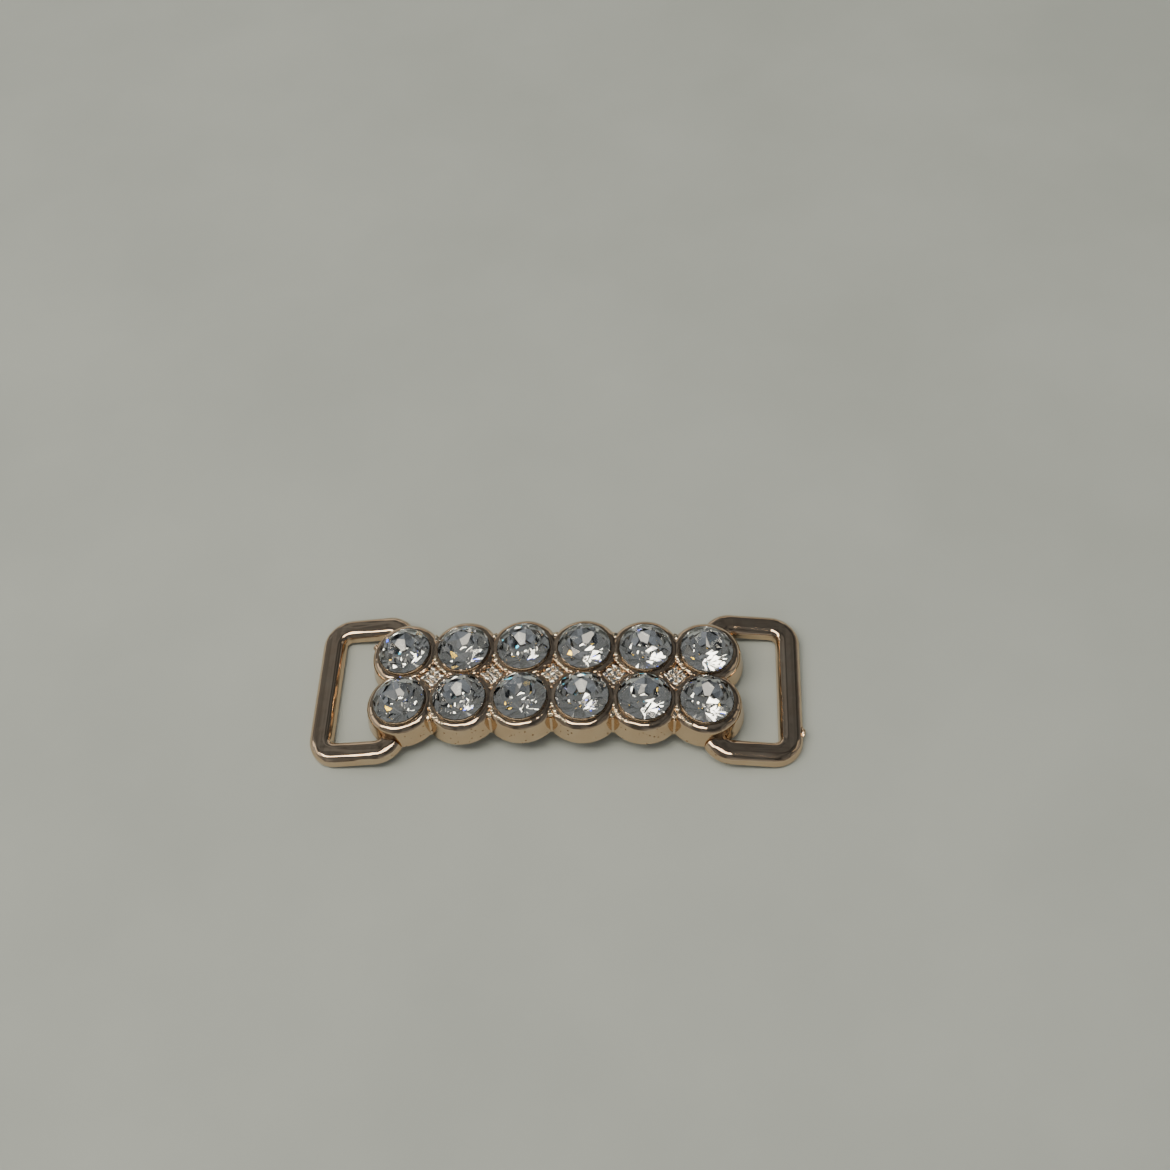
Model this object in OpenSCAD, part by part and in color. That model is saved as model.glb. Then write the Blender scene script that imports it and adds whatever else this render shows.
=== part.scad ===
// Shoe buckle: one cast frame with twelve round cups and a strap loop at each end,
// and twelve cut glass stones set in the cups. Millimetres, +Z up, +X along the buckle.
// The origin is on the resting surface, under the middle of the buckle.

/* [Cups] */
// Cups in each of the two rows
cups_per_row = 6; // [2:1:8]
// Distance between cup centres along a row
cup_pitch = 7.2; // [6.8:0.1:7.8]
// Distance between the centre lines of the two rows
row_pitch = 6.8; // [6.6:0.1:7.6]
// Width of a cup across its rounded rim
rim_d = 8.5; // [8.3:0.1:9]
// Height of a cup from the underside to the crest of its rim
cup_h = 2.85; // [2.6:0.05:3.4]
// Radius that rounds the outside of the rim
rim_round = 0.95; // [0.7:0.05:1.1]
// Slope of the cup's side wall from upright, in degrees
cup_draft = 14; // [8:1:16]

/* [Stones] */
// Width of a stone across its girdle
stone_d = 6.32; // [6:0.02:6.4]
// Width of the flat table, corner to corner
table_d = 3.5; // [3:0.1:4]
// Height of the crown above the girdle
crown_h = 1.3; // [1:0.05:1.6]
// Thickness of the girdle band
girdle_h = 0.14; // [0.1:0.02:0.3]
// Depth of the point below the girdle
point_h = 2.65; // [2.4:0.05:2.7]
// Height of the girdle above the crest of the rim
stone_lift = 0.34; // [0.3:0.02:0.6]
// Gap between a stone and its seat
seat_gap = 0.1; // [0.06:0.01:0.14]
// Tilt of each stone in its seat, in degrees
stone_tilt = 0.8; // [0:0.1:1]

/* [Diamonds between the cups] */
// Side of the sunk square that holds the grains
pit_side = 2.35; // [2:0.05:2.5]
// Width of the raised line round the square
pit_line = 0.16; // [0.1:0.02:0.3]
// Depth of the raised line below the crest of the rims
line_drop = 0.12; // [0.05:0.01:0.3]
// Depth of the square's floor below the crest of the rims
pit_drop = 0.7; // [0.4:0.05:1]
// Grains along one side of the square
grains = 3; // [2:1:4]
// Width of a grain where it stands on the floor
grain_d = 0.72; // [0.5:0.02:0.74]
// Height of a grain
grain_h = 0.32; // [0.2:0.01:0.35]

/* [Strap loops] */
// Clear length of the strap slot, between the side bars
slot_len = 14.4; // [13.5:0.1:15.5]
// Distance from the middle of the buckle to the end bar's centre line
end_bar_x = 28.2; // [27.5:0.1:29.5]
// Width of a bar at the underside
bar_w = 3; // [2.6:0.05:3.3]
// Thickness of a bar
bar_h = 1.5; // [1.3:0.05:1.9]
// Radius that rounds the top edges of a bar
bar_round = 1; // [0.7:0.05:1]
// Slope of a bar's side from upright, in degrees
bar_draft = 8; // [4:1:10]
// Bend radius of a bar's centre line at the outer corners
corner_r = 2.2; // [1.8:0.05:2.6]
// Distance from the middle to where a side bar starts to turn in
tip_x = 21.2; // [20.5:0.1:22]
// Bend radius of a side bar's centre line where it turns in to the end cup
tip_r = 2.2; // [1.9:0.1:3]
// Angle through which a side bar turns in, in degrees
tip_turn = 62; // [50:1:75]

/* [Arch] */
// Radius of the arch along the underside
arch_r = 170; // [140:5:260]
// Distance along the arch at which each flat loop lies level with it
loop_x = 23.8; // [23:0.1:25]
// Depth of the loops' underside below the arch there
loop_drop = 0.15; // [0:0.05:0.3]

/* [Hidden] */
$fn = 96;
rows = ["front", "back"];
stone_names = [for (r = rows) for (i = [1:cups_per_row]) str("stone_", r, "_", i)];

gold = "#B99B78";
crystal = "#DDE3E8";

// Chamfer along the lower edges, and how far cuts run past what they cut
edge_break = 0.15;
cut_past = 1;

// Size of the larger cups, to the others
cup_vary = 1.004;

// Web in the notch between two cups: width, set-back of its foot, and drop of its top
web_w = 0.3;
web_set = 0.12;
web_slope = 0.5;

// Main facets round a stone, and the angle between two of them
mains = 8;
main_a = 360 / mains;
// Where the star facets end, as a share of the way from the table to the girdle
star_share = 0.5;
// Where the lower girdle facets end, as a share of the girdle's radius
low_share = 0.8;

// Cup section: the side wall is tangent to the rounding of the rim
crest_r = rim_d / 2 - rim_round;
cup_base_r = crest_r + (rim_round + (cup_h - rim_round) * sin(cup_draft)) / cos(cup_draft);

// Bar section: as the cup's, on both sides of a flat crest
bar_flat = bar_w / 2 - (bar_round + (bar_h - bar_round) * sin(bar_draft)) / cos(bar_draft);

// The seat follows the ridges of the stone's point, which lie outside its flats
girdle_z = cup_h + stone_lift;
ridge_slope = point_h * cos(main_a / 2) / (stone_d / 2);
seat_tip_z = girdle_z - point_h - seat_gap;

bar_y = slot_len / 2 + bar_w / 2;
end_u = end_bar_x - loop_x;
tip_u = tip_x - loop_x;

// The buckle rests on the outer lower edges of its end bars
loop_angle = loop_x / arch_r * 180 / PI;
rest_u = end_u + bar_w / 2 - edge_break;
rise = arch_r - ((arch_r - loop_drop) * cos(loop_angle) - rest_u * sin(loop_angle));

function cup_x(i) = (i - (cups_per_row - 1) / 2) * cup_pitch;
function row_y(r) = (r - 0.5) * row_pitch;

// Sets its children on the arch, at a distance x along it from the middle
module on_arch(x) {
    translate([0, 0, rise - arch_r]) rotate([0, x / arch_r * 180 / PI, 0])
        translate([0, 0, arch_r]) children();
}

// Half section of a cup, from its axis to its side wall
module cup_section() {
    wall_r = crest_r + rim_round * cos(cup_draft);
    wall_z = cup_h - rim_round * (1 - sin(cup_draft));
    polygon([[0, 0], [cup_base_r - edge_break, 0],
        [cup_base_r - edge_break * tan(cup_draft), edge_break], [wall_r, wall_z],
        [crest_r, cup_h - rim_round], [crest_r, cup_h], [0, cup_h]]);
    translate([crest_r, cup_h - rim_round]) circle(r = rim_round);
}

// Cast cups are not quite alike: every other one is a hair larger
module cup(larger) {
    scale(larger ? cup_vary : 1) rotate(-90) rotate_extrude() cup_section();
}

// Hollow that a stone sits in, open above the rim
module seat() {
    depth = cup_h + cut_past - seat_tip_z;
    translate([0, 0, seat_tip_z]) cylinder(r1 = 0, r2 = depth / ridge_slope, h = depth);
}

// Thin upright web that softens the notch between two cups of a row, outside the row
module notch_web() {
    half_gap = (cup_pitch - web_w) / 2;
    foot_y = sqrt(pow(cup_base_r, 2) - pow(half_gap, 2)) - web_set;
    waist_y = sqrt(pow(rim_d / 2, 2) - pow(half_gap, 2));
    waist_z = cup_h - rim_round;
    translate([-web_w / 2, 0, 0]) rotate([90, 0, 90]) linear_extrude(web_w)
        polygon([[0, 0], [foot_y, 0], [waist_y, waist_z], [waist_y - web_slope, waist_z + web_slope],
            [0, waist_z + web_slope]]);
}

// Square block between four cups; its edge shows as a thin raised line round the pit
module diamond_block() {
    side = pit_side + 2 * pit_line;
    rotate(45) translate([-side / 2, -side / 2, 0]) cube([side, side, cup_h - line_drop]);
}

module diamond_pit() {
    rotate(45) translate([-pit_side / 2, -pit_side / 2, cup_h - pit_drop]) cube([pit_side, pit_side, cup_h]);
}

// Grains on the floor of the pit: caps of balls, in rows along its sides
module diamond_grains() {
    step = pit_side / grains;
    ball_r = (pow(grain_d / 2, 2) + pow(grain_h, 2)) / (2 * grain_h);
    ball_z = cup_h - pit_drop + grain_h - ball_r;
    middle = (grains - 1) / 2;
    rotate(45) for (a = [0:grains - 1]) for (b = [0:grains - 1])
        translate([(a - middle) * step, (b - middle) * step, ball_z]) sphere(r = ball_r);
}

// Section of a bar: flat underside, sloping sides, rounded top edges
module bar_section() {
    side_x = bar_flat + bar_round * cos(bar_draft);
    side_z = bar_h - bar_round * (1 - sin(bar_draft));
    foot_x = bar_w / 2 - edge_break;
    intersection() {
        union() {
            polygon([[-foot_x, 0], [foot_x, 0], [bar_w / 2 - edge_break * tan(bar_draft), edge_break],
                [side_x, side_z], [bar_flat, bar_h - bar_round], [bar_flat, bar_h], [-bar_flat, bar_h],
                [-bar_flat, bar_h - bar_round], [-side_x, side_z],
                [-bar_w / 2 + edge_break * tan(bar_draft), edge_break]]);
            for (s = [-1, 1]) translate([s * bar_flat, bar_h - bar_round]) circle(r = bar_round);
        }
        translate([-bar_w, 0]) square([2 * bar_w, 2 * bar_h]);
    }
}

// Straight bar along +X, and a bend that starts along +X and turns to the left
module bar(len) {
    rotate([90, 0, 90]) linear_extrude(len) bar_section();
}

module bend(r, turn) {
    translate([0, r, 0]) rotate(-90) rotate_extrude(angle = turn) translate([r, 0]) bar_section();
}

// Half of a strap loop, from the middle of the end bar to the tip by the end cup
module half_loop() {
    side_len = end_u - corner_r - tip_u;
    end_len = bar_y - corner_r;
    translate([tip_u, -bar_y, 0]) bar(side_len);
    translate([end_u - corner_r, -bar_y, 0]) bend(corner_r, 90);
    translate([end_u, -end_len, 0]) rotate(90) bar(end_len);
    translate([tip_u, -bar_y, 0]) mirror([1, 0, 0]) bend(tip_r, tip_turn);
}

module strap_loop() {
    half_loop();
    mirror([0, 1, 0]) half_loop();
}

module each_cup() {
    for (i = [0:cups_per_row - 1]) for (r = [0, 1])
        on_arch(cup_x(i)) translate([0, row_y(r), 0]) children((i + r) % 2);
}

module each_gap() {
    for (i = [0.5:cups_per_row - 1]) on_arch(cup_x(i)) children();
}

// The metal: cups, webs, diamonds and both loops in one solid
module casting() {
    color(gold) {
        difference() {
            union() {
                each_cup() {
                    cup(false);
                    cup(true);
                }
                each_gap() {
                    diamond_block();
                    for (m = [0, 1]) mirror([0, m, 0]) translate([0, row_pitch / 2, 0]) notch_web();
                }
                for (m = [0, 1]) mirror([m, 0, 0]) on_arch(loop_x)
                    translate([0, 0, -loop_drop]) strap_loop();
            }
            each_cup() {
                seat();
                seat();
            }
            each_gap() diamond_pit();
        }
        each_gap() diamond_grains();
    }
}

// Corners of a level ring: n points, the first of them at an angle
function ring(r, z, n, first) =
    [for (k = [0:n - 1]) [r * cos(first + k * 360 / n), r * sin(first + k * 360 / n), z]];

// Cut stone, girdle top at z = 0: table, 8 stars, 8 kites and 16 girdle facets on the
// crown, and 8 kites and 16 girdle facets on the point. Each kite's plane stands square
// to its own direction, so all facets are flat.
module cut_stone() {
    girdle_r = stone_d / 2;
    table_r = table_d / 2;
    star_r = table_r + star_share * (girdle_r - table_r);
    star_z = crown_h * (girdle_r - star_r * cos(main_a / 2)) / (girdle_r - table_r);
    low_r = low_share * girdle_r;
    low_z = -girdle_h - point_h * (1 - low_r * cos(main_a / 2) / girdle_r);
    corners = concat(
        ring(table_r, crown_h, mains, 0),
        ring(star_r, star_z, mains, main_a / 2),
        ring(girdle_r, 0, 2 * mains, 0),
        ring(girdle_r, -girdle_h, 2 * mains, 0),
        ring(low_r, low_z, mains, main_a / 2),
        [[0, 0, -girdle_h - point_h]]
    );
    // Where each ring starts among the corners
    star = mains;
    upper = star + mains;
    under = upper + 2 * mains;
    low = under + 2 * mains;
    tip = low + mains;
    // Last main facet, and the corners round the girdle
    last = mains - 1;
    round_stone = 2 * mains;
    facets = concat(
        [[for (k = [last:-1:0]) k]],
        [for (k = [0:last]) [k, (k + 1) % mains, star + k]],
        [for (k = [0:last]) [k, star + k, upper + 2 * k, star + (k + last) % mains]],
        [for (k = [0:last]) [star + k, upper + 2 * k + 1, upper + 2 * k]],
        [for (k = [0:last]) [star + k, upper + (2 * k + 2) % round_stone, upper + 2 * k + 1]],
        [for (k = [0:round_stone - 1])
            [upper + k, upper + (k + 1) % round_stone, under + (k + 1) % round_stone, under + k]],
        [for (k = [0:last]) [under + 2 * k, under + 2 * k + 1, low + k]],
        [for (k = [0:last]) [under + 2 * k + 1, under + (2 * k + 2) % round_stone, low + k]],
        [for (k = [0:last]) [low + k, tip, low + (k + last) % mains, under + 2 * k]]
    );
    polyhedron(corners, facets);
}

// A stone in its cup, turned and tilted a little differently from its neighbours
module stone(i, r) {
    turn = (i * 17 + r * 29) % main_a;
    lean = (i * 137 + r * 71) % 360;
    color(crystal) on_arch(cup_x(i)) translate([0, row_y(r), girdle_z + girdle_h])
        rotate(lean) rotate([stone_tilt, 0, 0]) rotate(turn - lean) cut_stone();
}

casting();
for (r = [0, 1]) for (i = [0:cups_per_row - 1])
    stone(i, r);
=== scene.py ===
# Shoe buckle: one light-gold plated casting with twelve cut glass stones.
# Metres, +Z up, +X along the buckle, the front row of stones towards -Y.
import math
import random
import bpy
from mathutils import Matrix, Vector


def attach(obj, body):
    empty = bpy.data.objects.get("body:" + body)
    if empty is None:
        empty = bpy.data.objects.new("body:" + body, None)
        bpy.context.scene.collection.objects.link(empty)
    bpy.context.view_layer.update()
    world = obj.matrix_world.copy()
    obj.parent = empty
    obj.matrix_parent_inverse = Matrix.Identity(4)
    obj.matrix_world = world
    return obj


mm = 0.001

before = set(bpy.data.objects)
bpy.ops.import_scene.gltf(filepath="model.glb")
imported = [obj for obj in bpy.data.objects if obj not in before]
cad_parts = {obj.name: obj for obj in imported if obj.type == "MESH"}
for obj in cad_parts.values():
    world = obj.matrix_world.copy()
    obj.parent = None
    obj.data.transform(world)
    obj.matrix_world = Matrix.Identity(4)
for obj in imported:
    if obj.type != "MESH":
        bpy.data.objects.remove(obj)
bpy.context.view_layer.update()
print("frame loaded:", len(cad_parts), "nodes")


# Small helpers

def hexColour(code):  # from an sRGB code to linear values
    channels = [int(code[i:i + 2], 16) / 255 for i in (1, 3, 5)]
    linear = [c / 12.92 if c <= 0.04045 else ((c + 0.055) / 1.055) ** 2.4 for c in channels]
    return (*linear, 1.0)


def addNode(tree, kind, inputs=None, **settings):
    node = tree.nodes.new(kind)
    for name, value in settings.items():
        setattr(node, name, value)
    for socket, value in (inputs or {}).items():
        if isinstance(value, bpy.types.NodeSocket):
            tree.links.new(value, node.inputs[socket])
        else:
            node.inputs[socket].default_value = value
    return node


def newMaterial(name):
    material = bpy.data.materials.new(name)
    material.use_nodes = True
    tree = material.node_tree
    tree.nodes.clear()
    return material, tree


def turn(axis, degrees):
    return Matrix.Rotation(math.radians(degrees), 4, axis)


# Camera: orbits to the photo's side and height, then rolls, tilts and pans

view = {
    "azimuth": 11.5064,      # degrees to the right of straight ahead
    "elevation": 59.1452,
    "distance": 189.3 * mm,
    "aimHeight": 2.61 * mm,  # underside of the arch
    "roll": -10.093,
    "tilt": 3.6105,
    "pan": -1.1062,
    "lens": 48.25,           # in millimetres, as the sensor
    "sensor": 36,
    "nearest": 10 * mm,
}


def addCamera():
    data = bpy.data.cameras.new("camera")
    data.lens = view["lens"]
    data.sensor_width = view["sensor"]
    data.clip_start = view["nearest"]
    orbit = turn("Z", view["azimuth"]) @ turn("X", 90 - view["elevation"])
    aim = Matrix.Translation((0, 0, view["aimHeight"]))
    place = aim @ orbit @ Matrix.Translation((0, 0, view["distance"]))
    camera = bpy.data.objects.new("camera", data)
    camera.matrix_world = place @ turn("Z", view["roll"]) @ turn("X", view["tilt"]) @ turn("Y", view["pan"])
    bpy.context.scene.collection.objects.link(camera)
    bpy.context.scene.camera = camera


addCamera()
print("camera set")


# Floor: a plain pale sheet

floorSheet = {
    "size": 1600 * mm,
    "mottle": 35 * mm,       # width of its faint clouds
    "mottleDetail": 4.0,
    "mottleRoughness": 0.55,
    "darker": (0.35, "#ABB3B1"),
    "lighter": (0.65, "#B2BAB8"),
    "roughness": 0.75,
}


def paperMaterial():
    # uncoated card: quite matte, with faint clouds and no gloss
    material, tree = newMaterial("uncoatedGreyCard")
    where = addNode(tree, "ShaderNodeTexCoord").outputs["Object"]
    cloud = addNode(tree, "ShaderNodeTexNoise", {
        "Vector": where, "Scale": 1 / floorSheet["mottle"], "Detail": floorSheet["mottleDetail"],
        "Roughness": floorSheet["mottleRoughness"]})
    tone = addNode(tree, "ShaderNodeValToRGB", {"Fac": cloud.outputs["Fac"]})
    for stop, (position, colour) in enumerate((floorSheet["darker"], floorSheet["lighter"])):
        tone.color_ramp.elements[stop].position = position
        tone.color_ramp.elements[stop].color = hexColour(colour)
    shader = addNode(tree, "ShaderNodeBsdfPrincipled", {
        "Base Color": tone.outputs["Color"], "Roughness": floorSheet["roughness"]})
    addNode(tree, "ShaderNodeOutputMaterial", {"Surface": shader.outputs["BSDF"]})
    return material


def addFloor():
    bpy.ops.object.select_all(action="DESELECT")
    bpy.ops.mesh.primitive_plane_add(size=floorSheet["size"])
    floor = bpy.context.object
    floor.name = "floor_sheet"
    floor.data.materials.append(paperMaterial())


addFloor()


# Lights: two long tubes overhead, dim panels round the object, a wash and a dim ceiling,
# and for the stones a key light of their own with three small coloured lamps beside it

lamps = {
    "tube_front": {"place": (-0.42, -0.22, 0.80), "size": (1.25, 0.10), "radiance": 11.0, "aimed": False},
    "tube_back": {"place": (-0.42, -0.06, 0.80), "size": (1.25, 0.07), "radiance": 11.0, "aimed": False},
    "left_panel": {"place": (-0.80, 0.05, 0.45), "size": (0.55, 0.30), "radiance": 0.9, "aimed": True},
    "right_panel": {"place": (0.85, 0.15, 0.50), "size": (0.45, 0.30), "radiance": 0.35, "aimed": True},
    "back_panel": {"place": (-0.10, 0.95, 0.32), "size": (1.20, 0.22), "radiance": 0.5, "aimed": True},
    "floor_wash": {"place": (-0.42, 0.36, 0.75), "size": (0.55, 0.55), "radiance": 0.9, "aimed": True},
    "ceiling": {"place": (0, 0.10, 1.00), "size": (4.0, 4.0), "radiance": 0.16, "aimed": False},
    "stone_key": {"place": (-0.20, -0.07, 0.77), "size": (0.56, 0.16), "radiance": 13.5, "aimed": False},
    "front_fill": {"place": (0.10, -0.95, 0.50), "size": (1.0, 0.40), "radiance": 1.0, "aimed": True},
    "fire_amber": {"place": (0.20, -0.10, 0.78), "size": (0.05, 0.07), "radiance": 14.0, "aimed": False},
    "fire_blue": {"place": (-0.52, 0.00, 0.78), "size": (0.06, 0.12), "radiance": 16.0, "aimed": False},
    "fire_cyan": {"place": (-0.10, 0.10, 0.78), "size": (0.08, 0.04), "radiance": 7.0, "aimed": False},
}
unseenByMetal = ("floor_wash", "ceiling", "front_fill")  # lights that no plating mirrors
onlyForStones = ("stone_key", "fire_amber", "fire_blue", "fire_cyan")
lampColour = "#FFF4E0"
fireColours = {"fire_amber": "#FFC800", "fire_blue": "#1E4BFF", "fire_cyan": "#30C8E8"}


def addLamp(name, settings):
    data = bpy.data.lights.new(name, "AREA")
    data.shape = "RECTANGLE"
    data.size, data.size_y = settings["size"]
    data.energy = settings["radiance"] * math.pi * data.size * data.size_y
    data.color = hexColour(fireColours.get(name, lampColour))[:3]
    lamp = bpy.data.objects.new(name, data)
    place = Vector(settings["place"])
    aim = place.to_track_quat("Z", "Y").to_matrix().to_4x4() if settings["aimed"] else Matrix.Identity(4)
    lamp.matrix_world = Matrix.Translation(place) @ aim
    lamp.visible_glossy = name not in unseenByMetal and name not in onlyForStones
    lamp.visible_diffuse = name not in onlyForStones
    lamp.visible_transmission = not name.startswith("tube")  # the stones have their own key light
    bpy.context.scene.collection.objects.link(lamp)


room = {
    "glowTowards": (-0.85, 0.38, 0.25),  # the room is lighter low down at the back on the left
    "stops": (                           # how far towards the glow, and the light there
        (0.30, (0.086, 0.096, 0.108, 1)),
        (0.70, (0.122, 0.135, 0.150, 1)),
        (1.00, (0.205, 0.226, 0.250, 1)),
    ),
    "clutter": 2.5,                      # how finely its lighter and darker patches are scattered
    "clutterDetail": 2.0,
    "clutterSpan": (0.38, 0.62),         # smaller: harder edges between the patches
    "clutterStrength": (0.5, 1.6),
    "horizon": 0.16,                     # extra light that comes in low, from all round
    "horizonSpan": (0.5, 0.1),           # heights between which it comes in
}


def setRoom():
    world = bpy.data.worlds.new("dim room")
    bpy.context.scene.world = world
    world.use_nodes = True
    tree = world.node_tree
    tree.nodes.clear()
    way = addNode(tree, "ShaderNodeTexCoord").outputs["Generated"]
    near = addNode(tree, "ShaderNodeVectorMath", {0: way, 1: Vector(room["glowTowards"]).normalized()},
                   operation="DOT_PRODUCT").outputs["Value"]
    ramp = addNode(tree, "ShaderNodeValToRGB", {"Fac": near})
    dark, middle, glow = room["stops"]
    ramp.color_ramp.elements[0].position, ramp.color_ramp.elements[0].color = dark
    ramp.color_ramp.elements[1].position, ramp.color_ramp.elements[1].color = glow
    ramp.color_ramp.elements.new(middle[0]).color = middle[1]
    cloud = addNode(tree, "ShaderNodeTexNoise", {
        "Vector": way, "Scale": room["clutter"], "Detail": room["clutterDetail"]})
    patch = addNode(tree, "ShaderNodeMapRange", {
        "Value": cloud.outputs["Fac"],
        "From Min": room["clutterSpan"][0], "From Max": room["clutterSpan"][1],
        "To Min": room["clutterStrength"][0], "To Max": room["clutterStrength"][1]})
    rise = addNode(tree, "ShaderNodeSeparateXYZ", {"Vector": way}).outputs["Z"]
    low = addNode(tree, "ShaderNodeMapRange", {
        "Value": rise, "From Min": room["horizonSpan"][0], "From Max": room["horizonSpan"][1],
        "To Min": 0.0, "To Max": room["horizon"]})
    lifted = addNode(tree, "ShaderNodeMix", {
        "Factor": low.outputs["Result"], "A": ramp.outputs["Color"], "B": (1, 1, 1, 1)}, data_type="RGBA")
    sky = addNode(tree, "ShaderNodeBackground", {
        "Color": lifted.outputs["Result"], "Strength": patch.outputs["Result"]})
    addNode(tree, "ShaderNodeOutputWorld", {"Surface": sky.outputs["Background"]})


for name, settings in lamps.items():
    addLamp(name, settings)
setRoom()
print("floor and lights set")


# Plated casting

plating = {
    "wave": 2.2 * mm,            # width of the casting's slow waves
    "waveDetail": 1.0,
    "waveHeight": 0.030 * mm,
    "ripple": 1.2 * mm,
    "rippleDetail": 0.5,
    "rimRipple": 0.140 * mm,     # ripples are high on the rims and low on the walls
    "wallRipple": 0.012 * mm,
    "rimFacing": (0.25, 0.6),    # upward part of the normal, on a wall and on a rim
    "barRipple": 0.020 * mm,
    "streak": 0.60 * mm,         # polishing lines along the strap bars, drawn coarse enough to show
    "streakLength": 30 * mm,
    "streakHeight": 0.070 * mm,
    "barsFrom": 21.5 * mm,       # distance from the middle at which the bars start
    "barsBlend": 1 * mm,
    "corner": 19.2 * mm,         # an end bar's lines start where x is this much more than y
    "cornerBlend": 1.6 * mm,
    "pit": 0.42 * mm,            # width of the pattern's cells, each with one pit at most
    "pitRadius": 0.15 * mm,      # of the largest pits
    "pitCore": 0.55,             # share of a pit's radius that is quite dark
    "pitless": 0.45,             # share of the pattern's cells that stay clean
    "pitFacing": 0.5,            # pits lie where the normal rises or falls less than this
    "pitDullness": 0.5,
    "pitColour": "#86684A",
}


# brown pits: round spots in some cells of a Voronoi pattern, only on the cups' upright walls
def pitSpots(tree, where, facing, onBars):
    cells = addNode(tree, "ShaderNodeTexVoronoi", {
        "Vector": where, "Scale": 1 / plating["pit"], "Randomness": 1.0})
    draw = addNode(tree, "ShaderNodeSeparateColor", {"Color": cells.outputs["Color"]})
    reach = addNode(tree, "ShaderNodeMath", {
        0: draw.outputs["Red"], 1: plating["pitRadius"] / plating["pit"]}, operation="MULTIPLY")
    core = addNode(tree, "ShaderNodeMath", {
        0: reach.outputs[0], 1: plating["pitCore"]}, operation="MULTIPLY")
    spot = addNode(tree, "ShaderNodeMapRange", {
        "Value": cells.outputs["Distance"], "From Min": core.outputs[0], "From Max": reach.outputs[0],
        "To Min": 1.0, "To Max": 0.0})
    pitted = addNode(tree, "ShaderNodeMath", {
        0: draw.outputs["Green"], 1: plating["pitless"]}, operation="GREATER_THAN")
    lean = addNode(tree, "ShaderNodeMath", {0: facing}, operation="ABSOLUTE")
    upright = addNode(tree, "ShaderNodeMath", {
        0: lean.outputs[0], 1: plating["pitFacing"]}, operation="LESS_THAN")
    onCups = addNode(tree, "ShaderNodeMath", {0: 1.0, 1: onBars}, operation="SUBTRACT")
    pit = spot.outputs["Result"]
    for limit in (pitted, upright, onCups):
        kept = addNode(tree, "ShaderNodeMath", {0: pit, 1: limit.outputs[0]}, operation="MULTIPLY")
        pit = kept.outputs[0]
    return pit


# polishing lines, which run along x on the side bars and along y on the end bars
def barStreaks(tree, where, sides):
    short, long = 1 / plating["streak"], 1 / plating["streakLength"]
    lines = []
    for scales in ((long, short, short), (short, long, short)):
        spread = addNode(tree, "ShaderNodeVectorMath", {0: where, 1: scales}, operation="MULTIPLY")
        lines.append(addNode(tree, "ShaderNodeTexNoise", {
            "Vector": spread.outputs["Vector"], "Scale": 1.0, "Detail": 0.0}).outputs["Fac"])
    past = addNode(tree, "ShaderNodeMath", {
        0: sides.outputs["X"], 1: sides.outputs["Y"]}, operation="SUBTRACT")
    onEnd = addNode(tree, "ShaderNodeMapRange", {
        "Value": past.outputs[0], "From Min": plating["corner"] - plating["cornerBlend"],
        "From Max": plating["corner"] + plating["cornerBlend"]})
    return addNode(tree, "ShaderNodeMix", {
        "Factor": onEnd.outputs["Result"], "A": lines[0], "B": lines[1]}).outputs["Result"]


# surface height in metres: waves everywhere, ripples by place, lines on the bars
def platingHeight(tree, where, sides, facing, wave, onBars):
    ripple = addNode(tree, "ShaderNodeTexNoise", {
        "Vector": where, "Scale": 1 / plating["ripple"], "Detail": plating["rippleDetail"]})
    onRims = addNode(tree, "ShaderNodeMapRange", {
        "Value": facing, "From Min": plating["rimFacing"][0], "From Max": plating["rimFacing"][1],
        "To Min": plating["wallRipple"], "To Max": plating["rimRipple"]})
    swell = addNode(tree, "ShaderNodeMix", {
        "Factor": onBars, "A": onRims.outputs["Result"], "B": plating["barRipple"]})
    line = addNode(tree, "ShaderNodeMath", {
        0: barStreaks(tree, where, sides), 1: onBars}, operation="MULTIPLY")
    waves = addNode(tree, "ShaderNodeMath", {0: wave, 1: plating["waveHeight"]}, operation="MULTIPLY")
    rippled = addNode(tree, "ShaderNodeMath", {
        0: ripple.outputs["Fac"], 1: swell.outputs["Result"], 2: waves.outputs[0]},
        operation="MULTIPLY_ADD")
    return addNode(tree, "ShaderNodeMath", {
        0: line.outputs[0], 1: plating["streakHeight"], 2: rippled.outputs[0]},
        operation="MULTIPLY_ADD").outputs[0]


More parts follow.
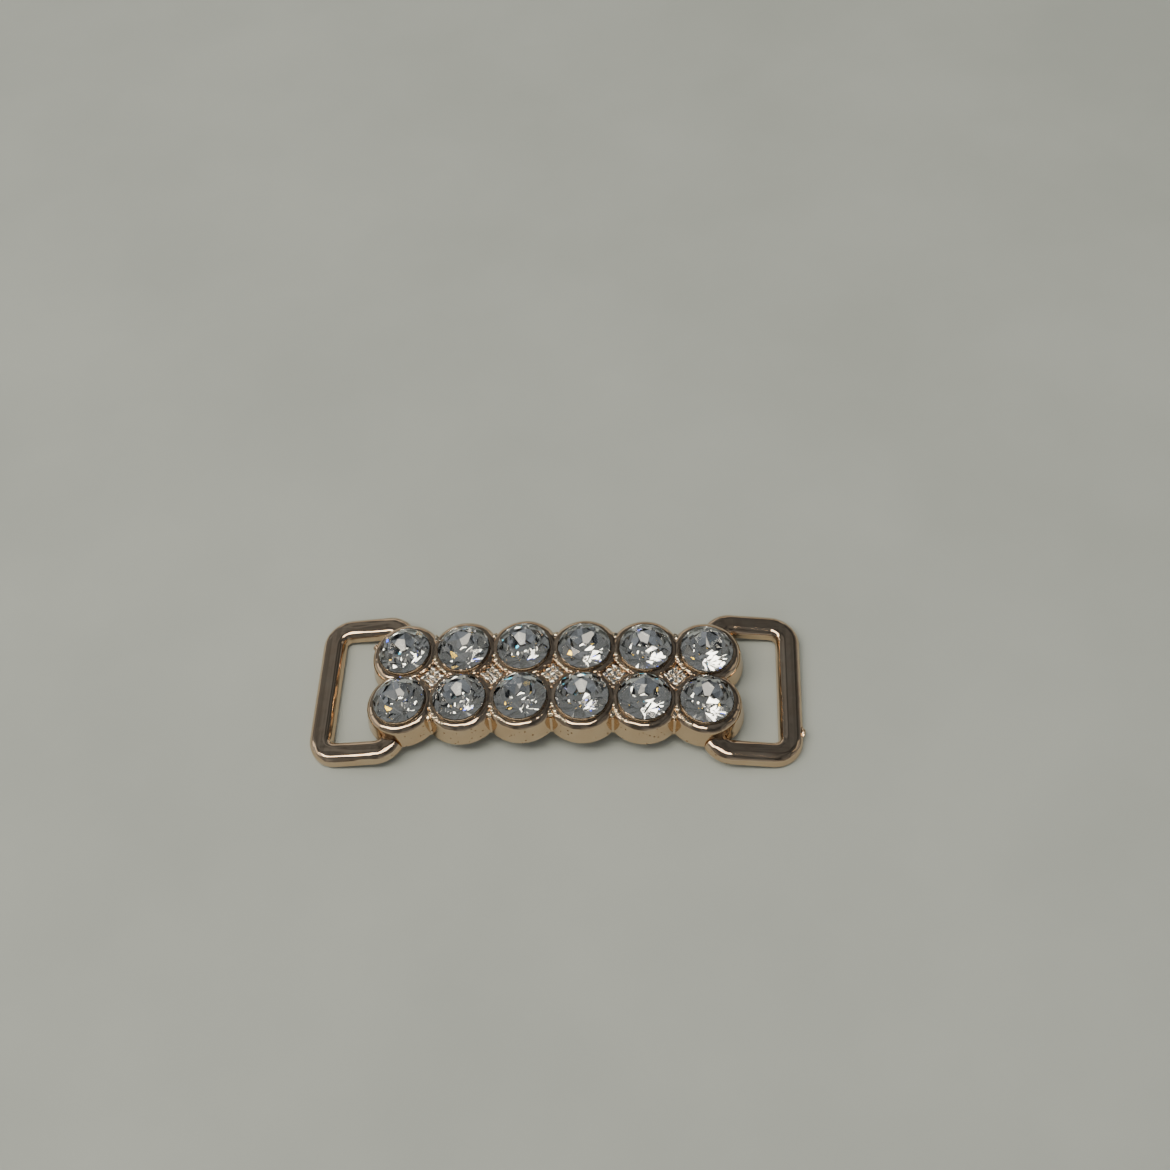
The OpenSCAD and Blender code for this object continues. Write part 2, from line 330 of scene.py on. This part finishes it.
def platingMaterial(name, light, deep, polish):
    material, tree = newMaterial(name)
    where = addNode(tree, "ShaderNodeTexCoord").outputs["Object"]
    size = addNode(tree, "ShaderNodeVectorMath", {0: where}, operation="ABSOLUTE").outputs["Vector"]
    sides = addNode(tree, "ShaderNodeSeparateXYZ", {"Vector": size})
    normal = addNode(tree, "ShaderNodeNewGeometry").outputs["Normal"]
    facing = addNode(tree, "ShaderNodeSeparateXYZ", {"Vector": normal}).outputs["Z"]
    wave = addNode(tree, "ShaderNodeTexNoise", {
        "Vector": where, "Scale": 1 / plating["wave"], "Detail": plating["waveDetail"]}).outputs["Fac"]
    onBars = addNode(tree, "ShaderNodeMapRange", {
        "Value": sides.outputs["X"], "From Min": plating["barsFrom"] - plating["barsBlend"],
        "From Max": plating["barsFrom"]}).outputs["Result"]
    pit = pitSpots(tree, where, facing, onBars)
    height = platingHeight(tree, where, sides, facing, wave, onBars)
    bump = addNode(tree, "ShaderNodeBump", {"Height": height, "Distance": 1.0, "Strength": 1.0})
    tone = addNode(tree, "ShaderNodeMix", {
        "Factor": wave, "A": hexColour(light), "B": hexColour(deep)}, data_type="RGBA")
    colour = addNode(tree, "ShaderNodeMix", {
        "Factor": pit, "A": tone.outputs["Result"], "B": hexColour(plating["pitColour"])}, data_type="RGBA")
    rough = addNode(tree, "ShaderNodeMath", {
        0: pit, 1: plating["pitDullness"], 2: polish}, operation="MULTIPLY_ADD")
    shader = addNode(tree, "ShaderNodeBsdfPrincipled", {
        "Base Color": colour.outputs["Result"], "Metallic": 1.0, "Roughness": rough.outputs[0],
        "Normal": bump.outputs["Normal"]})
    addNode(tree, "ShaderNodeOutputMaterial", {"Surface": shader.outputs["BSDF"]})
    return material


# Cut glass with a foil behind the point

glass = {
    "ior": 1.54,
    "foilBelow": 0.3,        # faces whose outward normal rises less than this carry the foil
    "foilRoughness": 0.05,
    "clear": "#FFFFFF",
    "foil": "#DDDFDF",
}


def glassMaterial():
    # colourless cut crystal glass over silver foil: clear facets above, a bright mirror below
    material, tree = newMaterial("foilBackedCutCrystalGlass")
    geometry = addNode(tree, "ShaderNodeNewGeometry")
    up = addNode(tree, "ShaderNodeSeparateXYZ", {"Vector": geometry.outputs["True Normal"]}).outputs["Z"]
    # 1 where a ray meets the glass from outside and -1 from inside, where the normal is turned round
    side = addNode(tree, "ShaderNodeMath", {0: geometry.outputs["Backfacing"], 1: -2.0, 2: 1.0},
                   operation="MULTIPLY_ADD")
    outward = addNode(tree, "ShaderNodeMath", {0: up, 1: side.outputs[0]}, operation="MULTIPLY")
    below = addNode(tree, "ShaderNodeMath", {0: outward.outputs[0], 1: glass["foilBelow"]},
                    operation="LESS_THAN")
    tint = addNode(tree, "ShaderNodeMix", {
        "Factor": below.outputs[0], "A": hexColour(glass["clear"]), "B": hexColour(glass["foil"])},
        data_type="RGBA")
    rough = addNode(tree, "ShaderNodeMath", {0: below.outputs[0], 1: glass["foilRoughness"]},
                    operation="MULTIPLY")
    shader = addNode(tree, "ShaderNodeBsdfPrincipled", {
        "Base Color": tint.outputs["Result"], "Metallic": below.outputs[0], "Roughness": rough.outputs[0],
        "IOR": glass["ior"], "Transmission Weight": 1.0})
    addNode(tree, "ShaderNodeOutputMaterial", {"Surface": shader.outputs["BSDF"]})
    return material


def dressNode(name, material):
    piece = bpy.data.objects[name]
    piece.data.materials.clear()
    piece.data.materials.append(material)


stoneNames = sorted(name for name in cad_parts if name.startswith("stone_"))
# zinc die casting with bright light-gold plating: a warm mirror that follows the casting's waves
plated = platingMaterial("lightGoldPlatedZincCasting", "#DAC4A8", "#D0B190", 0.08)
# the same plating painted paler and greyer on the crumpled grains: a painted sheen for the light they
# scatter
grainPlatingPaintedPaler = platingMaterial("goldPlatingPaintedPalerForGrains", "#ECE8E1", "#E3DDD3", 0.12)
# the same plating painted paler and creamier on the burrs and crinkles: a painted highlight for their
# cream-coloured glints
glintPlatingPaintedCream = platingMaterial("platingPaintedCreamForGlints", "#EEDFC6", "#E2CFB0", 0.10)
# the same plating, rougher and painted dark brown-grey: painted shade in the thin edge where each stone
# meets its rim
seatPlatingPaintedShade = platingMaterial("platingPaintedDarkForSeatShade", "#85796A", "#766857", 0.26)
dressNode("casting", plated)
crystal = glassMaterial()
for name in stoneNames:
    dressNode(name, crystal)
print("casting and", len(stoneNames), "stones dressed")


# Where the cups lie: two rows over an arch, with a sunk diamond between each four cups

cups = {
    "perRow": 6,
    "rows": (-0.5, 0.5),     # front and back, in row pitches
    "pitch": 7.2 * mm,
    "rowPitch": 6.8 * mm,
    "crest": 2.85 * mm,      # of the rims, above the casting's underside
    "archRadius": 170 * mm,  # of the casting's underside
    "archHeight": 2.61 * mm,
}
gaps = range(cups["perRow"] - 1)  # between neighbouring cups of a row


def onArch(x):
    lean = Matrix.Rotation(x / cups["archRadius"], 4, "Y")
    sink = Matrix.Translation((0, 0, cups["archHeight"] - cups["archRadius"]))
    return sink @ lean @ Matrix.Translation((0, 0, cups["archRadius"]))


def overCup(column, row, height):
    x = (column - (cups["perRow"] - 1) / 2) * cups["pitch"]
    return onArch(x) @ Matrix.Translation((0, row * cups["rowPitch"], height))


def inGap(gap, y, height):
    x = (gap + 1 - cups["perRow"] / 2) * cups["pitch"]
    return onArch(x) @ Matrix.Translation((0, y, height))


def crumpled(piece, strength, cell):
    texture = bpy.data.textures.new("crumple", "VORONOI")
    texture.noise_scale = cell
    texture.distance_metric = "MANHATTAN"
    texture.color_mode = "INTENSITY"
    modifier = piece.modifiers.new("crumple", "DISPLACE")
    modifier.texture = texture
    modifier.texture_coords = "LOCAL"
    modifier.strength = strength
    modifier.mid_level = 0.5
    bpy.ops.object.modifier_apply(modifier=modifier.name)


def crumpledBall(shape):
    bpy.ops.object.select_all(action="DESELECT")
    bpy.ops.mesh.primitive_ico_sphere_add(subdivisions=shape["subdivisions"], radius=shape["radius"])
    ball = bpy.context.object
    crumpled(ball, shape["crumple"], shape["crumpleCell"])
    bpy.ops.object.shade_smooth_by_angle(angle=math.radians(shape["smoothUpTo"]))
    return ball


def placedCopy(source, place):
    copy = source.copy()
    copy.data = source.data.copy()
    copy.matrix_world = place @ source.matrix_world
    bpy.context.scene.collection.objects.link(copy)
    return copy


def joined(parts):
    bpy.ops.object.select_all(action="DESELECT")
    for part in parts:
        part.select_set(True)
    bpy.context.view_layer.objects.active = parts[0]
    bpy.ops.object.join()
    return parts[0]


def finishPiece(piece, name, material):
    bpy.ops.object.select_all(action="DESELECT")
    piece.select_set(True)
    bpy.context.view_layer.objects.active = piece
    bpy.ops.object.transform_apply(location=True, rotation=True, scale=True)
    piece.name = name
    piece.data.name = name
    piece.data.materials.clear()
    piece.data.materials.append(material)
    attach(piece, "root")


# Rough grains in each sunk diamond

diamond = {
    "side": 2.35 * mm,
    "turned": 45,            # degrees from square to the rows
    "floor": 2.16 * mm,      # where the grains stand, above the casting's underside
}
grains = {
    "perSide": 3,
    "radius": 0.47 * mm,
    "subdivisions": 4,
    "crumple": 0.20 * mm,
    "crumpleCell": 0.60 * mm,
    "smoothUpTo": 50,        # degrees between faces
    "sink": 0.06 * mm,       # how far a grain's middle lies below that floor, where it is cut off
    "lift": (-0.02 * mm, 0.05 * mm),
    "scale": (0.92, 1.06),
    "seed": 4,
}


def modelGrain():
    grain = crumpledBall(grains)
    bpy.ops.object.mode_set(mode="EDIT")
    bpy.ops.mesh.select_all(action="SELECT")
    bpy.ops.mesh.bisect(plane_co=(0, 0, grains["sink"]), plane_no=(0, 0, 1),
                        use_fill=True, clear_inner=True)
    bpy.ops.object.mode_set(mode="OBJECT")
    bpy.ops.object.shade_smooth_by_angle(angle=math.radians(grains["smoothUpTo"]))  # for the cut edge
    return grain


def addGrains():
    draw = random.Random(grains["seed"])
    grain = modelGrain()
    step = diamond["side"] / grains["perSide"]
    lines = [(n - (grains["perSide"] - 1) / 2) * step for n in range(grains["perSide"])]
    for gap in gaps:
        square = inGap(gap, 0, diamond["floor"] - grains["sink"]) @ turn("Z", diamond["turned"])
        parts = []
        for x in lines:
            for y in lines:
                place = square @ Matrix.Translation((x, y, draw.uniform(*grains["lift"])))
                facing = turn("Z", draw.uniform(0, 360))
                size = Matrix.Scale(draw.uniform(*grains["scale"]), 4)
                parts.append(placedCopy(grain, place @ facing @ size))
        # their plating is painted paler: a painted sheen for the light the grains scatter
        finishPiece(joined(parts), f"pit_grains_{gap + 1}", grainPlatingPaintedPaler)
    bpy.data.objects.remove(grain)


# Raised, uneven bead round each sunk diamond

beads = {
    "radius": 0.22 * mm,
    "resolution": 3,
    "top": 2.82 * mm,        # above the casting's underside
    "cornerRound": 0.12 * mm,
    "cornerSegments": 3,
    "cuts": 12,              # along each side
    "crumple": 0.10 * mm,
    "crumpleCell": 0.5 * mm,
}


def modelBead():
    bpy.ops.object.select_all(action="DESELECT")
    bpy.ops.mesh.primitive_plane_add(size=diamond["side"] + 2 * beads["radius"])
    bpy.ops.object.mode_set(mode="EDIT")
    bpy.ops.mesh.select_all(action="SELECT")
    bpy.ops.mesh.bevel(offset=beads["cornerRound"], segments=beads["cornerSegments"], affect="VERTICES")
    bpy.ops.mesh.select_all(action="SELECT")
    bpy.ops.mesh.subdivide(number_cuts=beads["cuts"])
    bpy.ops.mesh.delete(type="ONLY_FACE")
    bpy.ops.object.mode_set(mode="OBJECT")
    bpy.ops.object.convert(target="CURVE")
    outline = bpy.context.object
    outline.data.bevel_depth = beads["radius"]
    outline.data.bevel_resolution = beads["resolution"]
    bpy.ops.object.convert(target="MESH")
    bead = bpy.context.object
    crumpled(bead, beads["crumple"], beads["crumpleCell"])
    bpy.ops.object.shade_smooth()
    return bead


def addBeads():
    bead = modelBead()
    for gap in gaps:
        place = inGap(gap, 0, beads["top"] - beads["radius"]) @ turn("Z", diamond["turned"])
        finishPiece(placedCopy(bead, place), f"pit_bead_{gap + 1}", plated)
    bpy.data.objects.remove(bead)


# Lip that closes the gap between each rim and the stone above it, painted dark as painted shade along the
# stone's edge

lips = {
    "radius": 3.12 * mm,
    "thickness": 0.27 * mm,
    "rise": 0.45,            # share of the thickness by which its middle lies above the rim's crest
    "segments": 96,
    "sides": 12,
    "crumple": 0.03 * mm,
    "crumpleCell": 0.6 * mm,
    "turnStep": 37,          # degrees from one cup to the next, so that no two in a row look alike
}


def modelLip():
    bpy.ops.object.select_all(action="DESELECT")
    bpy.ops.mesh.primitive_torus_add(major_radius=lips["radius"], minor_radius=lips["thickness"] / 2,
                                     major_segments=lips["segments"], minor_segments=lips["sides"])
    lip = bpy.context.object
    crumpled(lip, lips["crumple"], lips["crumpleCell"])
    bpy.ops.object.shade_smooth()
    return lip


def addLips():
    lip = modelLip()
    height = cups["crest"] + lips["rise"] * lips["thickness"]
    parts = []
    for row in cups["rows"]:
        for column in range(cups["perRow"]):
            place = overCup(column, row, height) @ turn("Z", lips["turnStep"] * column)
            parts.append(placedCopy(lip, place))
    bpy.data.objects.remove(lip)
    # its dark brown-grey is painted shade along each stone's edge
    finishPiece(joined(parts), "seat_lips", seatPlatingPaintedShade)


# Small crinkled lumps where the rims of two neighbours meet

burrs = {
    "radius": 0.40 * mm,
    "subdivisions": 4,
    "crumple": 0.22 * mm,
    "crumpleCell": 0.40 * mm,
    "smoothUpTo": 50,
    "shape": (0.8, 1.3, 0.60),  # in width, length and height
    "fromRow": 1.92 * mm,       # outwards from the row's centre line
    "height": 2.42 * mm,        # above the casting's underside
    "turnStep": 71,             # degrees from one notch to the next
}


def addBurrs():
    burr = crumpledBall(burrs)
    squash = Matrix.Diagonal((*burrs["shape"], 1))
    parts = []
    for side in (-1, 1):
        y = side * (cups["rowPitch"] / 2 + burrs["fromRow"])
        for gap in gaps:
            place = inGap(gap, y, burrs["height"]) @ squash @ turn("Z", burrs["turnStep"] * gap * side)
            parts.append(placedCopy(burr, place))
    bpy.data.objects.remove(burr)
    # plating painted cream: a painted highlight for the glints at the notches
    finishPiece(joined(parts), "notch_burrs", glintPlatingPaintedCream)


# Crinkled metal on the lower left of each cup's rim, beside its neighbour on the left

crinkles = {
    "lumps": 9,
    "from": 194,             # degrees round the cup
    "to": 240,
    "jitter": 0.3,           # share of the step from one lump to the next
    "ring": 3.62 * mm,       # distance of the lumps from the cup's middle
    "stray": 0.10 * mm,
    "height": 2.71 * mm,     # above the casting's underside
    "radius": 0.32 * mm,
    "smallest": 0.60,        # of the radius
    "subdivisions": 3,
    "crumple": 0.09 * mm,
    "crumpleCell": 0.45 * mm,
    "smoothUpTo": 50,
    "shape": (0.8, 1.3, 0.6),
    "seed": 11,
}


def addCrinkles():
    draw = random.Random(crinkles["seed"])
    lump = crumpledBall(crinkles)
    squash = Matrix.Diagonal((*crinkles["shape"], 1))
    parts = []
    for row in cups["rows"]:
        for column in range(1, cups["perRow"]):
            rim = overCup(column, row, crinkles["height"])
            for number in range(crinkles["lumps"]):
                step = number + draw.uniform(-1, 1) * crinkles["jitter"]
                share = step / (crinkles["lumps"] - 1)
                around = turn("Z", crinkles["from"] + share * (crinkles["to"] - crinkles["from"]))
                ring = crinkles["ring"] + draw.uniform(-1, 1) * crinkles["stray"]
                size = Matrix.Scale(draw.uniform(crinkles["smallest"], 1), 4)
                place = rim @ around @ Matrix.Translation((ring, 0, 0)) @ squash @ size
                parts.append(placedCopy(lump, place @ turn("Z", draw.uniform(0, 360))))
    bpy.data.objects.remove(lump)
    # plating painted cream: a painted highlight for the glints along the rims
    finishPiece(joined(parts), "rim_crinkles", glintPlatingPaintedCream)


# Round columns that soften the notches between neighbouring cups

columns = {
    "width": 0.66 * mm,
    "length": 2.05 * mm,
    "sides": 48,
    "endRound": 0.08 * mm,
    "endSegments": 3,
    "smoothUpTo": 40,
    "lean": 19.3,            # degrees, as the web that each column covers
    "footFromRow": 2.90 * mm,
    "foot": 0.14 * mm,       # above the casting's underside
}


def modelColumn():
    bpy.ops.object.select_all(action="DESELECT")
    bpy.ops.mesh.primitive_cylinder_add(vertices=columns["sides"], radius=columns["width"] / 2,
                                        depth=columns["length"], location=(0, 0, columns["length"] / 2))
    column = bpy.context.object
    bpy.ops.object.transform_apply(location=True)
    modifier = column.modifiers.new("rounded ends", "BEVEL")
    modifier.width = columns["endRound"]
    modifier.segments = columns["endSegments"]
    modifier.limit_method = "ANGLE"
    bpy.ops.object.modifier_apply(modifier=modifier.name)
    bpy.ops.object.shade_smooth_by_angle(angle=math.radians(columns["smoothUpTo"]))
    return column


def addColumns():
    column = modelColumn()
    parts = []
    for side in (-1, 1):
        y = side * (cups["rowPitch"] / 2 + columns["footFromRow"])
        for gap in gaps:
            place = inGap(gap, y, columns["foot"]) @ turn("X", side * columns["lean"])
            parts.append(placedCopy(column, place))
    bpy.data.objects.remove(column)
    finishPiece(joined(parts), "notch_columns", plated)


# Two traces of the mould: a flash nub on a cup and the gate's stub on the right loop

nubs = {
    "radius": 1 * mm,        # scaled by each nub's size
    "subdivisions": 4,
    "crumple": 0.5 * mm,
    "crumpleCell": 0.9 * mm,
    "smoothUpTo": 30,
}
nubPlaces = {                # in millimetres, then degrees
    "flash_nub": {"place": (-22.10, 4.66, 3.5), "size": (0.34, 0.34, 0.34), "turned": 20},
    "gate_nub": {"place": (29.46, -5.75, 0.85), "size": (0.34, 0.62, 0.44), "turned": 0},
}


def addNubs():
    ball = crumpledBall(nubs)
    for name, nub in nubPlaces.items():
        place = Matrix.Translation([v * mm for v in nub["place"]])
        shape = turn("Z", nub["turned"]) @ Matrix.Diagonal((*nub["size"], 1))
        finishPiece(placedCopy(ball, place @ shape), name, plated)
    bpy.data.objects.remove(ball)


addGrains()
addBeads()
addLips()
addBurrs()
addCrinkles()
addColumns()
addNubs()
print("grains, beads, lips, burrs, crinkles, columns and nubs added")
